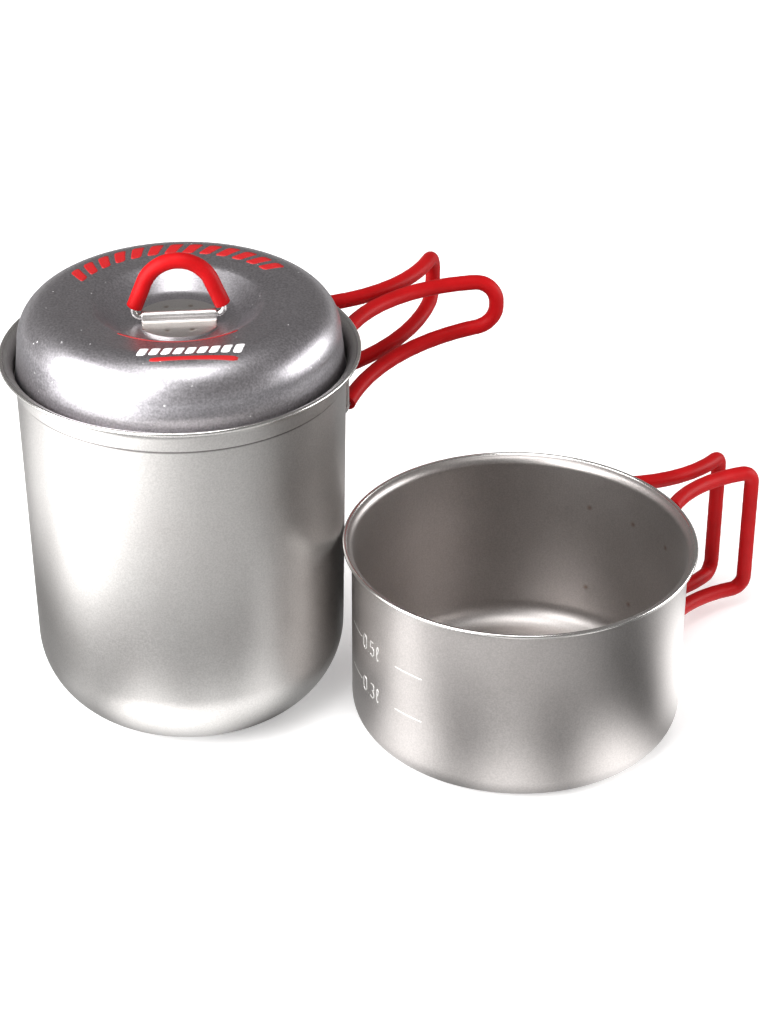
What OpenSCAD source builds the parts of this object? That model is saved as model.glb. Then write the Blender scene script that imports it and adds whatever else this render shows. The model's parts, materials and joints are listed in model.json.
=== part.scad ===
// Hiking pot set: a deep pot with a lid, and a shallow pan that the pot nests in.
// The pot stands on the origin, and the pan stands beside it along +X.

/* [Sheet and wire] */
// Thickness of the pot, pan and lid sheet
sheet_t = 0.4; // [0.3:0.1:0.5]
// Thickness of the welded brackets
bracket_t = 0.8; // [0.6:0.1:1]
// Radius of the rolled bead on each rim
bead_r = 0.75; // [0.6:0.05:0.9]
// Diameter of the handle and bail wire
wire_d = 2.5; // [2:0.1:2.6]
// Outer diameter of the silicone sleeves
sleeve_d = 5.8; // [5:0.1:5.9]
// Sides of a swept wire or sleeve
wire_sides = 10; // [8:2:12]

/* [Deep pot] */
// Height of the deep pot
pot_h = 142; // [140:1:150]
// Outer radius of the deep pot's rim
pot_rim_r = 63.5; // [63:0.1:64]
// Outer radius of the band that the lid sits in
band_r = 59; // [58.9:0.1:59.4]
// Outer radius of the wall, just under the band
wall_r = 58.1; // [57.8:0.1:58.2]
// Draft of the pot's wall in degrees
draft = 0.9; // [0.5:0.1:1.2]
// Depth of the lid's seat below the rim
seat_depth = 9.2; // [8.6:0.2:10]
// Radius of the rounded bottom corner
pot_corner = 30; // [24:1:34]

/* [Lid] */
// Outer radius of the skirt at the rim's level
lid_r = 56.6; // [56.4:0.1:57.2]
// Outer radius of the skirt's lower edge
lid_edge_r = 58.1; // [57.9:0.1:58.2]
// Height of the lid's crest above the rim
lid_rise = 19; // [17.5:0.1:20]
// Radius of the lid's rounded shoulder
shoulder = 13.5; // [12:0.1:15]
// Slope of the crest down to the recess in degrees
crest_slope = 6; // [0:0.5:7]
// Depth of the recess below the crest
recess_depth = 8.7; // [8:0.1:9]
// Radius of the recess's flat floor
recess_r = 19; // [18:0.5:20]

/* [Bail] */
// Direction that the bail's hinge points, in degrees
bail_turn = 13; // [0:1:90]
// Height of the hinge above the recess floor
hinge_rise = 2; // [1.9:0.1:2.4]
// Height of the arch's centre line above its hinge
arch_h = 20.8; // [20:0.2:22]
// Radius of the arch's round top
arch_r = 12.5; // [12:0.1:13]
// Slope of the arch's legs in degrees
arch_spread = 22; // [20:1:24]
// Width of the knob bracket along the hinge
knob_w = 26; // [24:1:27]
// Radius of the knob bracket's round ends
knob_r = 15; // [14:0.5:16]

/* [Pan] */
// Height of the pan
pan_h = 73.2; // [73:0.1:76]
// Outer radius of the pan's rim
pan_rim_r = 63.7; // [63.4:0.1:64]
// Outer radius of the pan's straight wall
pan_wall_r = 60.4; // [60:0.1:60.6]
// Radius of the pan's bottom corner
pan_corner = 9.5; // [8:0.5:10]
// Distance between the pot's axis and the pan's
pan_x = 121.3; // [121.2:0.1:140]

/* [Handles] */
// Direction that both handles point, in degrees from +X
handle_turn = 49.5; // [45:0.5:60]
// Angle from the handle's middle to each end of the bracket
plate_turn = 24; // [23:0.5:26]
// Plan radius that each wing is curved to
wing_curve = 62.5; // [62:0.5:66]
// Radius of the bend between a pin and its leg
root_bend = 2.6; // [2.4:0.1:3]
// Length of bare wire between a pin and its sleeve
bare = 6.5; // [4:0.5:8]

/* [Hidden] */
$fn = 96;

titanium = "#b8b2ab";
formed = "#cfcac4";
wire_grey = "#d8d5d0";
silicone = "#d21a20";

// clearance round a pin in its channel, and between a wire and its sleeve
pin_gap = 0.2;
bore_gap = 0.06;
wire_r = wire_d / 2;
// a swept wire is a little thinner than its pins, so that it ends inside them
swept_r = wire_r - 0.03;
channel_r = wire_r + pin_gap;
ridge_r = channel_r + bracket_t;

// seat of the lid, and the pot's wall below it
seat_z = pot_h - seat_depth;
step_z = seat_z - sheet_t;
function pot_wall(z) = wall_r - (step_z - z) * tan(draft);
// corner centre, so that the corner runs into the drafted wall
corner_x = pot_wall(pot_corner * (1 - sin(draft))) - pot_corner * cos(draft);

// lid
crest_z = pot_h + lid_rise;
recess_z = crest_z - recess_depth;
hinge_z = recess_z + hinge_rise;
recess_fillet = 5;
recess_edge = 5;
recess_slope = 38;
// upright hem that the skirt stands on
hem = 1.5;

// wings: [pivot radius, length, upper leg root and tip, lower leg root and tip, tip radius,
// angle from the handle's middle to the pivot, angle from the radius there to the open root]
pot_wing = [63, 82.5, 131.4, 129.6, 100, 112, 8.8, 15.5, 52.6];
pan_wing = [64.6, 57, 65, 59.4, 12.6, 7.2, 5, 13.5, 46.5];
function pivot_r(w) = w[0];
function reach(w) = w[1];
function upper_root(w) = [0, w[2]];
function upper_tip(w) = [reach(w), w[3]];
function lower_root(w) = [0, w[4]];
function lower_tip(w) = [reach(w), w[5]];
function tip_bend(w) = w[6];
function pivot_turn(w) = w[7];
function open_turn(w) = w[8];
// brackets: [plate bottom, plate top, channel bottom, channel top]
pot_plate = [91, 128.5, 103.5, 127];
pan_plate = [14.5, 63, 16, 61.6];
// how far each pin reaches into its channel
pin_reach = 7;

// ---------- outlines ----------
function arc(c, r, from, to, n = 8) =
    [for (i = [0 : n]) let (a = from + (to - from) * i / n) c + r * [cos(a), sin(a)]];
function unit(v) = v / norm(v);
function left(v) = [-v[1], v[0]];
// direction and length that moves corner i of a path by one unit to its left
function miter(p, i) =
    let (last = len(p) - 1,
         a = unit(i > 0 ? p[i] - p[i - 1] : p[1] - p[0]),
         b = unit(i < last ? p[i + 1] - p[i] : p[last] - p[last - 1]),
         m = left(a) + left(b))
    m * 2 / (m * m);
// closed outline of a sheet of thickness t on the left of a path
function sheet(p, t) =
    concat(p, [for (i = [len(p) - 1 : -1 : 0]) p[i] + t * miter(p, i)]);

// trumpet flare from a wall of radius r to the bead's centre
flare_sweep = 80;
function flare_r(r, rim) = (rim - bead_r - r) / (1 - cos(flare_sweep));
function flare(r, rim, h) =
    let (f = flare_r(r, rim), z = h - bead_r - f * sin(flare_sweep))
    arc([r + f, z], f, 180, 180 - flare_sweep, 6);

pot_path = concat(
    [[0, 0]],
    arc([corner_x, pot_corner], pot_corner, -90, -draft, 14),
    [[wall_r, step_z], [band_r, step_z]],
    flare(band_r, pot_rim_r, pot_h));

pan_path = concat(
    [[0, 0]],
    arc([pan_wall_r - pan_corner, pan_corner], pan_corner, -90, 0, 9),
    flare(pan_wall_r, pan_rim_r, pan_h));

// centre of the recess's upper edge: its round touches the recess's wall and the sloping crest
crest_line = crest_z - shoulder + (shoulder - recess_edge) / cos(crest_slope)
    - (lid_r - shoulder) * tan(crest_slope);
edge_x = (recess_r * sin(recess_slope) + recess_edge + recess_fillet
        + (crest_line - recess_z - recess_fillet) * cos(recess_slope))
    / (sin(recess_slope) - tan(crest_slope) * cos(recess_slope));
edge_z = crest_line + edge_x * tan(crest_slope);
lid_path = concat(
    [[0, recess_z]],
    arc([recess_r, recess_z + recess_fillet], recess_fillet, -90, recess_slope - 90, 5),
    arc([edge_x, edge_z], recess_edge, 90 + recess_slope, 90 + crest_slope, 5),
    arc([lid_r - shoulder, crest_z - shoulder], shoulder, 90 + crest_slope, 0, 13),
    [[lid_edge_r, seat_z + hem], [lid_edge_r, seat_z]]);

module rim_bead(rim, h) {
    rotate_extrude() translate([rim - bead_r, h - bead_r]) circle(r = bead_r, $fn = 24);
}

// ---------- swept wires ----------
// arc that rounds corner b between a and c, as points in the same plane
function corner(a, b, c, r, n) =
    let (u = unit(a - b), v = unit(c - b),
         half = acos(u * v) / 2,
         centre = b + unit(u + v) * r / sin(half),
         from = b + u * r / tan(half) - centre,
         to = b + v * r / tan(half) - centre,
         sweep = 180 - 2 * half)
    [for (i = [0 : n])
        centre + (from * sin(sweep * (1 - i / n)) + to * sin(sweep * i / n)) / sin(sweep)];
// a leg from a to b, with points between them about one step apart
function leg(a, b, step) =
    let (n = max(1, round(norm(b - a) / step)))
    [for (i = [1 : n - 1]) a + (b - a) * i / n];

// side view of a wing, as [distance along it, height], from its upper pin to its lower pin
bend_steps = 5;
leg_step = 7;
function wing_side(w) =
    let (top = upper_root(w), top_tip = upper_tip(w), low_tip = lower_tip(w), low = lower_root(w),
         root = corner(low, top, top_tip, root_bend, bend_steps),
         tip = corner(top, top_tip, low_tip, tip_bend(w), bend_steps),
         tip_back = corner(top_tip, low_tip, low, tip_bend(w), bend_steps),
         root_back = corner(low_tip, low, top, root_bend, bend_steps),
         first = top + unit(top_tip - top) * bare,
         last = low + unit(low_tip - low) * bare)
    concat(root, [first], leg(first, tip[0], leg_step), tip, tip_back,
           leg(tip_back[bend_steps], last, leg_step), [last], root_back);
// heading of a wing at distance s along it; side is -1 for the near wing, 1 for the far one
function heading(w, side, s) =
    handle_turn - side * (open_turn(w) - pivot_turn(w)) + side * s / wing_curve * 180 / PI;
function pivot_place(w, side) =
    let (a = handle_turn + side * pivot_turn(w)) pivot_r(w) * [cos(a), sin(a)];
function wing_point(w, side, q) =
    let (h0 = heading(w, side, 0), h = heading(w, side, q[0]), k = side * wing_curve,
         o = pivot_place(w, side))
    [o[0] + k * (sin(h) - sin(h0)), o[1] - k * (cos(h) - cos(h0)), q[1]];
function wing_normal(w, side, q) =
    let (h = heading(w, side, q[0])) [-sin(h), cos(h), 0];

// ring of points round p, across the path's direction t, with n one of its cross directions
function ring(p, t, n, r) =
    let (b = cross(t, n))
    [for (i = [0 : wire_sides - 1]) let (a = 360 * i / wire_sides)
        p + r * (cos(a) * n + sin(a) * b)];
function rings(pts, normals, r) =
    [for (i = [0 : len(pts) - 1])
        let (t = unit(pts[min(i + 1, len(pts) - 1)] - pts[max(i - 1, 0)]),
             n = unit(normals[i] - t * (normals[i] * t)))
        ring(pts[i], t, n, r)];
function flat(rows) = [for (row = rows) for (p = row) p];
// side faces between rings; first is the index of their first point
function sides(count, first, flip) =
    [for (i = [0 : count - 2]) for (j = [0 : wire_sides - 1])
        let (k = (j + 1) % wire_sides, a = first + i * wire_sides, b = a + wire_sides)
        flip ? [a + j, b + j, b + k, a + k] : [a + j, a + k, b + k, b + j]];

// solid swept along points, closed at both ends
module swept_rod(pts, normals, r) {
    n = len(pts);
    top = (n - 1) * wire_sides;
    polyhedron(
        points = flat(rings(pts, normals, r)),
        faces = concat(
            [[for (j = [0 : wire_sides - 1]) j]],
            sides(n, 0, true),
            [[for (j = [wire_sides - 1 : -1 : 0]) top + j]]));
}

// tube swept along points, open through its length
module swept_tube(pts, normals, outer, inner) {
    n = len(pts);
    half = n * wire_sides;
    top = (n - 1) * wire_sides;
    ends = [for (j = [0 : wire_sides - 1]) let (k = (j + 1) % wire_sides)
        for (f = [[j, k, half + k, half + j],
                  [top + k, top + j, half + top + j, half + top + k]]) f];
    polyhedron(
        points = concat(flat(rings(pts, normals, outer)), flat(rings(pts, normals, inner))),
        faces = concat(sides(n, 0, true), sides(n, half, false), ends));
}

// ---------- handles ----------
// bracket of one pot: a curved plate with two raised channels, fitted to its wall;
// the wall's radius is r_low at the plate's bottom and r_high at its top
module handle_bracket(w, plate, r_low, r_high) {
    low = plate[0];
    high = plate[1];
    channel_low = plate[2];
    channel_high = plate[3];
    lean = (r_high - r_low) / (high - low);
    difference() {
        union() {
            rotate([0, 0, handle_turn - plate_turn])
                rotate_extrude(angle = 2 * plate_turn, $fn = 180)
                    polygon([[r_low - 2, low], [r_low + bracket_t, low],
                             [r_high + bracket_t, high], [r_high - 2, high]]);
            for (side = [-1, 1])
                rotate([0, 0, handle_turn + side * pivot_turn(w)])
                    channel(pivot_r(w), ridge_r, channel_low, channel_high);
        }
        for (side = [-1, 1])
            rotate([0, 0, handle_turn + side * pivot_turn(w)])
                channel(pivot_r(w), channel_r, channel_low - 0.7, channel_high + 0.7);
        // the pot's own wall, past both ends of the plate
        rotate_extrude($fn = 180)
            polygon([[0, low - 1], [r_low - lean, low - 1],
                     [r_high + lean, high + 1], [0, high + 1]]);
    }
}

// round-nosed bar from inside the wall to the pivot
module channel(pivot, r, from, to) {
    translate([pivot, 0, from]) cylinder(r = r, h = to - from, $fn = 48);
    translate([pivot - 6, -r, from]) cube([6, 2 * r, to - from]);
}

// wire of one wing, with a straight round pin at each end
module wing_wire(w, side) {
    path = wing_side(w);
    o = pivot_place(w, side);
    last = len(path) - 1;
    overlap = 0.4;
    ends = concat([[0, path[0][1] - overlap]], path, [[0, path[last][1] + overlap]]);
    color(wire_grey) {
        swept_rod([for (q = ends) wing_point(w, side, q)],
                  [for (q = ends) wing_normal(w, side, q)], swept_r);
        translate([o[0], o[1], path[0][1] - pin_reach])
            cylinder(r = wire_r, h = pin_reach, $fn = 32);
        translate([o[0], o[1], path[last][1]])
            cylinder(r = wire_r, h = pin_reach, $fn = 32);
    }
}

// silicone sleeve of one wing
module wing_sleeve(w, side) {
    covered = [for (q = wing_side(w)) if (q[0] > bare - 0.01) q];
    color(silicone)
        swept_tube([for (q = covered) wing_point(w, side, q)],
                   [for (q = covered) wing_normal(w, side, q)],
                   sleeve_d / 2, swept_r + bore_gap);
}

// ---------- deep pot ----------
module pot_shell() {
    color(titanium) {
        rotate_extrude() polygon(sheet(pot_path, sheet_t));
        rim_bead(pot_rim_r, pot_h);
    }
}

module pot_bracket() {
    color(formed)
        handle_bracket(pot_wing, pot_plate, pot_wall(pot_plate[0]), pot_wall(pot_plate[1]));
}

module pot_wire_near() { wing_wire(pot_wing, -1); }
module pot_wire_far() { wing_wire(pot_wing, 1); }
module pot_sleeve_near() { wing_sleeve(pot_wing, -1); }
module pot_sleeve_far() { wing_sleeve(pot_wing, 1); }

// ---------- lid ----------
module lid_shell() {
    color(titanium) rotate_extrude() polygon(sheet(lid_path, -sheet_t));
}

// spot-welded plate in the recess, with a channel across it that holds the bail's ends
module knob_bracket() {
    color(formed) translate([0, 0, recess_z]) rotate([0, 0, bail_turn]) difference() {
        union() {
            intersection() {
                cylinder(r = knob_r, h = bracket_t);
                translate([-knob_w / 2, -knob_r, 0]) cube([knob_w, 2 * knob_r, bracket_t]);
            }
            knob_channel(ridge_r, knob_w, 0);
        }
        knob_channel(channel_r, knob_w + 2, -1);
    }
}

// round-topped bar along the hinge, from the given floor up
module knob_channel(r, length, floor_z) {
    translate([-length / 2, 0, hinge_rise]) rotate([0, 90, 0])
        cylinder(r = r, h = length, $fn = 48);
    translate([-length / 2, -r, floor_z]) cube([length, 2 * r, hinge_rise - floor_z]);
}

// side view of the bail, as [distance along the hinge, height above it]
arch_centre = arch_h - arch_r;
leg_top = [arch_r * cos(arch_spread), arch_centre + arch_r * sin(arch_spread)];
foot = leg_top[0] + leg_top[1] * tan(arch_spread);
foot_bend = 2.4;
foot_bare = 4;
foot_arc = corner([0, 0], [foot, 0], leg_top, foot_bend, bend_steps);
half_arch = concat(
    foot_arc,
    [[foot - foot_bare * sin(arch_spread), foot_bare * cos(arch_spread)]],
    arc([0, arch_centre], arch_r, arch_spread, 90, 7));
arch = concat(half_arch, [for (i = [len(half_arch) - 2 : -1 : 0]) [-half_arch[i][0], half_arch[i][1]]]);
// inner ends of the bail's pins
bail_pin = 7.5;

module in_bail_frame() {
    translate([0, 0, hinge_z]) rotate([0, 0, bail_turn]) children();
}

module bail_wire() {
    overlap = 0.4;
    start = foot_arc[0][0];
    ends = concat([[start - overlap, 0]], arch, [[overlap - start, 0]]);
    color(wire_grey) in_bail_frame() {
        swept_rod([for (q = ends) [q[0], 0, q[1]]], [for (q = ends) [0, 1, 0]], swept_r);
        for (turn = [0, 180])
            rotate([0, 0, turn]) translate([bail_pin, 0, 0]) rotate([0, 90, 0])
                cylinder(r = wire_r, h = start - bail_pin, $fn = 32);
    }
}

module bail_sleeve() {
    low = foot_bare * cos(arch_spread) - 0.01;
    covered = [for (q = arch) if (q[1] > low) q];
    color(silicone) in_bail_frame()
        swept_tube([for (q = covered) [q[0], 0, q[1]]], [for (q = covered) [0, 1, 0]],
                   sleeve_d / 2, swept_r + bore_gap);
}

// ---------- pan ----------
module at_pan() { translate([pan_x, 0, 0]) children(); }

module pan_shell() {
    color(titanium) at_pan() {
        rotate_extrude($fn = 180) polygon(sheet(pan_path, sheet_t));
        rim_bead(pan_rim_r, pan_h);
    }
}

module pan_bracket() {
    color(formed) at_pan() handle_bracket(pan_wing, pan_plate, pan_wall_r, pan_wall_r);
}

module pan_wire_near() { at_pan() wing_wire(pan_wing, -1); }
module pan_wire_far() { at_pan() wing_wire(pan_wing, 1); }
module pan_sleeve_near() { at_pan() wing_sleeve(pan_wing, -1); }
module pan_sleeve_far() { at_pan() wing_sleeve(pan_wing, 1); }

pot_shell();
pot_bracket();
pot_wire_near();
pot_wire_far();
pot_sleeve_near();
pot_sleeve_far();
lid_shell();
knob_bracket();
bail_wire();
bail_sleeve();
pan_shell();
pan_bracket();
pan_wire_near();
pan_wire_far();
pan_sleeve_near();
pan_sleeve_far();
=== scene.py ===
"""A titanium camp cook set: a deep pot with its lid, and a pan, with folding sleeved handles."""
import bpy
import bmesh
import json
import math
from mathutils import Matrix, Vector


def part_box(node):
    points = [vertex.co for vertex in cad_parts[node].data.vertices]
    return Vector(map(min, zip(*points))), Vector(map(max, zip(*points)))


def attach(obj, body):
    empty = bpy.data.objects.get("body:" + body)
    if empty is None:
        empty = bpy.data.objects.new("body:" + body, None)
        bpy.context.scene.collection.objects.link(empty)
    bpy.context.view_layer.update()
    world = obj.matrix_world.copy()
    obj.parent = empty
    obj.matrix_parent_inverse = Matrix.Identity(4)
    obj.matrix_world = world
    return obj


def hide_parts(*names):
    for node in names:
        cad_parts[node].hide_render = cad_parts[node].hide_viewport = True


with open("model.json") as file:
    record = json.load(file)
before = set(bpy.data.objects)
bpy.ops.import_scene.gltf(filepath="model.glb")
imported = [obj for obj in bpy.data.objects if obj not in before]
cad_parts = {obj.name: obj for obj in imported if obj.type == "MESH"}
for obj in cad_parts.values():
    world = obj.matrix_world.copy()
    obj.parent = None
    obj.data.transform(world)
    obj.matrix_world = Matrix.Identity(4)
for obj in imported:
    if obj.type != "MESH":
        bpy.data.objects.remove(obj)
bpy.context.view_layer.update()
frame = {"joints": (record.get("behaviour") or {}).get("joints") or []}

# Lengths below are in millimetres and angles in degrees; new_mesh() turns them into metres.
MM = 0.001


def node_box(node):
    low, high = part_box(node)
    return low / MM, high / MM


def joint(name):
    return next(j for j in frame["joints"] if j["name"] == name)


def cosd(a):
    return math.cos(math.radians(a))


def sind(a):
    return math.sin(math.radians(a))


# ---------- sizes ----------
# sheet, bent plate, rolled rims, wire and sleeves
SHEET = 0.4
PLATE = 0.8
BEAD_R = 0.75
WIRE_R = 1.25
SLEEVE_R = 2.9
FLARE_SWEEP = 80

# heights and places that the CAD model gives, and the radii over the rims
low, high = node_box("pot_shell")
POT_H = high.z
POT_RIM = 63.5
low, high = node_box("pan_shell")
PAN_H = high.z
PAN_X = (low.x + high.x) / 2
PAN_RIM = 63.7
low, high = node_box("lid_shell")
SEAT_Z = low.z
CREST_Z = high.z

# outer radii of the pot's lid band and of its wall under the step; the wall leans in downwards
BAND_R = 59
WALL_R = 58.1
DRAFT = 0.9
POT_CORNER = 30
STEP_Z = SEAT_Z - SHEET
PAN_WALL = 60.4
PAN_CORNER = 9.5

# the lid's radius under its shoulder and at its hem, its shoulder, and the recess in its crest
LID_R = 56.6
LID_EDGE_R = 58.1
SHOULDER = 13.5
CREST_SLOPE = 6
RECESS_DEPTH = 8.7
RECESS_R = 19
RECESS_FILLET = 5
RECESS_EDGE = 5
RECESS_SLOPE = 38
RECESS_Z = CREST_Z - RECESS_DEPTH

# directions of the bail's hinge and of the handles, and how the wings, plates and welds are formed
BAIL_TURN = 13
HINGE_Z = joint("bail_fold")["pos_m"][2] / MM
HANDLE_TURN = 49.5
PLATE_TURN = 24
WING_CURVE = 62.5
ROOT_BEND = 2.6
BARE = 6.5
PIN_REACH = 7
RIDGE_R = 2.25
WELD_R = 1.7
WELD_DEPTH = 0.14

WINGS = {
    "pot": {"reach": 82.5, "upper": (131.4, 129.6), "lower": (100, 112), "tip": 8.8,
            "pivot_r": 63, "pivot_turn": 15.5, "open_turn": 52.6},
    "pan": {"reach": 57, "upper": (65, 59.4), "lower": (12.6, 7.2), "tip": 5,
            "pivot_r": 64.6, "pivot_turn": 13.5, "open_turn": 46.5},
}
BRACKETS = {
    "pot": {"low": 91, "high": 128.5, "channel": (103.5, 127),
            "spot_turn": 20.6, "spots": (95.6, 123.4)},
    "pan": {"low": 14.5, "high": 63, "channel": (16, 61.6),
            "spot_turn": 19, "spots": (19.4, 55)},
}


# ---------- camera ----------
CAM_TURN = 7.8
CAM_TILT = 30.73
CAM_DISTANCE = 1029.3
CAM_TARGET = Vector((58.2, 80.5, 31.75))


def direction(turn, tilt):
    """Unit vector from the set, where turn 0 is at -Y and turns grow towards +X."""
    return Vector((sind(turn) * cosd(tilt), -cosd(turn) * cosd(tilt), sind(tilt)))


def aim_along(thing, back):
    """Turns a camera or light so that it looks against the direction that leads back to it."""
    thing.rotation_mode = "QUATERNION"
    thing.rotation_quaternion = (-back).to_track_quat("-Z", "Y")


def add_camera():
    data = bpy.data.cameras.new("camera")
    data.lens = 91.4
    data.sensor_width = 36
    data.shift_x = 0.0073
    data.clip_start = 0.01
    data.clip_end = 30
    camera = bpy.data.objects.new("camera", data)
    bpy.context.scene.collection.objects.link(camera)
    back = direction(CAM_TURN, CAM_TILT)
    camera.location = (CAM_TARGET + CAM_DISTANCE * back) * MM
    aim_along(camera, back)
    bpy.context.scene.camera = camera


# ---------- meshes ----------
def new_mesh(name, verts, faces, attributes=None):
    """Smooth piece from points in millimetres, with named values from 0 to 1 at its points."""
    mesh = bpy.data.meshes.new(name)
    mesh.from_pydata([Vector(v) * MM for v in verts], [], faces)
    for key, values in (attributes or {}).items():
        layer = mesh.attributes.new(key, "FLOAT", "POINT")
        layer.data.foreach_set("value", values)
    bm = bmesh.new()
    bm.from_mesh(mesh)
    bmesh.ops.recalc_face_normals(bm, faces=bm.faces)
    bm.to_mesh(mesh)
    bm.free()
    mesh.shade_smooth()
    mesh.set_sharp_from_angle(angle=math.radians(38))
    piece = bpy.data.objects.new(name, mesh)
    bpy.context.scene.collection.objects.link(piece)
    return piece


def arc(x, y, r, start, end, steps):
    turns = [start + (end - start) * i / steps for i in range(steps + 1)]
    return [(x + r * cosd(turn), y + r * sind(turn)) for turn in turns]


def between(a, b, count):
    """Points inside the line from a to b, without its ends."""
    return [tuple(p + (q - p) * i / (count + 1) for p, q in zip(a, b)) for i in range(1, count + 1)]


def offset(path, t):
    """The path moved by t to its left, mitred at its corners."""
    moved = []
    last = len(path) - 1
    for i, point in enumerate(path):
        here = Vector(point)
        into = (here - Vector(path[max(i - 1, 0)])) if i else Vector(path[1]) - here
        out = (Vector(path[min(i + 1, last)]) - here) if i < last else here - Vector(path[last - 1])
        a, b = into.normalized(), out.normalized()
        m = Vector((-a.y - b.y, a.x + b.x))
        moved.append(tuple(here + m * (2 * t / m.length_squared)))
    return moved


def smooth_bump(distance, radius):
    """1 at the centre and 0 from the radius out, with a flat floor and a round edge."""
    u = min(1, max(0, distance / radius))
    return 1 - u * u * u * (10 - 15 * u + 6 * u * u)


def revolve(name, outline, turns, centre, polish, painted_shade, dent=None):
    """Surface of revolution of an outline of (radius, height) points, from the axis to the axis.
    polish holds the indices of worn points of the outline, and the argument after it holds those of
    points that are darkened as painted shade.
    dent(turn, radius, height) gives (push outwards, weld mark) at a point."""
    # dark holds, for each point, 1 where its colour is to be darkened as painted shade.
    verts, rings, weld, worn, dark = [], [], [], [], []
    for k, (r, z) in enumerate(outline):
        first = len(verts)
        for turn in ([0] if r < 1e-6 else turns):
            push, mark = dent(turn, r, z) if dent else (0, 0)
            x, y = (r + push) * cosd(turn), (r + push) * sind(turn)
            verts.append((centre[0] + x, centre[1] + y, z))
            weld.append(mark)
            worn.append(float(k in polish))
            dark.append(float(k in painted_shade))
        rings.append(list(range(first, len(verts))))
    faces = []
    for a, b in zip(rings, rings[1:]):
        n = max(len(a), len(b))
        for j in range(n):
            k = (j + 1) % n
            if len(a) == 1 and len(b) > 1:
                faces.append((a[0], b[k], b[j]))
            elif len(b) == 1 and len(a) > 1:
                faces.append((a[j], a[k], b[0]))
            elif len(a) > 1:
                faces.append((a[j], a[k], b[k], b[j]))
    return new_mesh(name, verts, faces, {"weld": weld, "polish": worn, "painted_shade": dark})


def wall_turns():
    """Directions round a wall, fine over the handle's bracket for its weld marks."""
    fine = [HANDLE_TURN - PLATE_TURN + 0.6 * i for i in range(81)]
    start, end = fine[-1], fine[0] + 360
    count = 176
    return fine + [start + (end - start) * i / count for i in range(1, count)]


def even_turns(count):
    return [360 * i / count for i in range(count)]


# ---------- materials ----------
def node_tree(name):
    material = bpy.data.materials.new(name)
    material.use_nodes = True
    tree = material.node_tree
    shader = next(n for n in tree.nodes if n.type == "BSDF_PRINCIPLED")
    return material, tree, shader


def noise(tree, scale, detail=3.0, roughness=0.55):
    place = tree.nodes.get("place") or tree.nodes.new("ShaderNodeTexCoord")
    place.name = "place"
    node = tree.nodes.new("ShaderNodeTexNoise")
    node.inputs["Scale"].default_value = scale
    node.inputs["Detail"].default_value = detail
    node.inputs["Roughness"].default_value = roughness
    tree.links.new(place.outputs["Object"], node.inputs["Vector"])
    return node.outputs["Fac"]


def ramp(tree, value, low, high, at=(0.3, 0.7)):
    """Colour ramp from low to high, over the given stretch of the value."""
    node = tree.nodes.new("ShaderNodeValToRGB")
    node.color_ramp.elements[0].position, node.color_ramp.elements[1].position = at
    node.color_ramp.elements[0].color = (*low, 1)
    node.color_ramp.elements[1].color = (*high, 1)
    tree.links.new(value, node.inputs["Fac"])
    return node.outputs["Color"]


def mix_colour(tree, factor, a, b, blend="MIX"):
    """Mixes two colours, each a socket or a triple, by a socket or a number."""
    node = tree.nodes.new("ShaderNodeMix")
    node.data_type = "RGBA"
    node.blend_type = blend
    for key, value in (("Factor", factor), ("A", a), ("B", b)):
        socket = node.inputs[key]
        if isinstance(value, bpy.types.NodeSocket):
            tree.links.new(value, socket)
        elif isinstance(value, (int, float)):
            socket.default_value = value
        else:
            socket.default_value = (*value, 1)
    return node.outputs["Result"]


def between_values(tree, value, low, high):
    """Maps a value from 0 to 1 onto low to high."""
    node = tree.nodes.new("ShaderNodeMapRange")
    node.inputs["To Min"].default_value = low
    node.inputs["To Max"].default_value = high
    tree.links.new(value, node.inputs["Value"])
    return node.outputs["Result"]


def math_node(tree, operation, a, b=0):
    node = tree.nodes.new("ShaderNodeMath")
    node.operation = operation
    for socket, value in zip(node.inputs, (a, b)):
        if isinstance(value, bpy.types.NodeSocket):
            tree.links.new(value, socket)
        else:
            socket.default_value = value
    return node.outputs["Value"]


def point_value(tree, key):
    node = tree.nodes.new("ShaderNodeAttribute")
    node.attribute_name = key
    return node.outputs["Fac"]


def bump(tree, shader, height, strength, distance):
    node = tree.nodes.new("ShaderNodeBump")
    node.inputs["Strength"].default_value = strength
    node.inputs["Distance"].default_value = distance * MM
    tree.links.new(height, node.inputs["Height"])
    tree.links.new(node.outputs["Normal"], shader.inputs["Normal"])


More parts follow.
